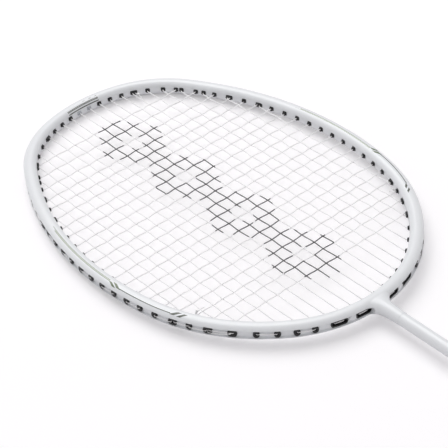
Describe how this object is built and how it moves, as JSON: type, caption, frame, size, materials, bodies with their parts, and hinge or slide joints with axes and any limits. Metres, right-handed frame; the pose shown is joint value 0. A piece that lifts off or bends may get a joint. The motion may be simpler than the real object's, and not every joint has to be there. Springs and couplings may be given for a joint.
{
  "type": "badminton racket",
  "caption": "Strung badminton racket: rounded composite head frame with a neck, slim round shaft, cone cap and eight-sided wrapped handle with a flared butt.",
  "frame": {"origin": "centre of the butt cap's end face", "axes": "+X along the racket from the butt to the tip of the head, +Y across the head in the plane of the strings, +Z square to the string bed"},
  "size_m": [0.675, 0.193, 0.0302],
  "materials": {
    "frame_lacquer": "white lacquer over a carbon composite tube",
    "shaft_lacquer": "white lacquer over a carbon composite tube",
    "joint_resin": "moulded reinforced resin",
    "string_nylon": "white braided nylon with a clear coating",
    "handle_wood": "sanded bare hardwood",
    "cap_plastic": "moulded white plastic",
    "cone_plastic": "moulded white plastic",
    "grip_rubber": "soft foamed polyurethane tape",
    "band_tape": "thin self-adhesive vinyl tape",
    "pale_grommet": "moulded white nylon",
    "dark_grommet": "moulded black nylon"
  },
  "bodies": {
    "root": {"head_frame": "frame_lacquer", "throat_joint": "joint_resin", "shaft": "shaft_lacquer", "main_string": "string_nylon", "cross_string": "string_nylon", "tie_off_knots": "string_nylon", "handle_core": "handle_wood", "butt_cap": "cap_plastic", "cone_cap": "cone_plastic", "grip": "grip_rubber", "grip_band": "band_tape", "centre_grommets": "pale_grommet", "tip_grommets": "dark_grommet", "left_grommets": "dark_grommet", "right_grommets": "dark_grommet", "throat_grommets": "dark_grommet", "shared_grommets": "dark_grommet", "tie_off_grommets": "dark_grommet", "twin_grommets": "dark_grommet"}
  },
  "joints": []
}
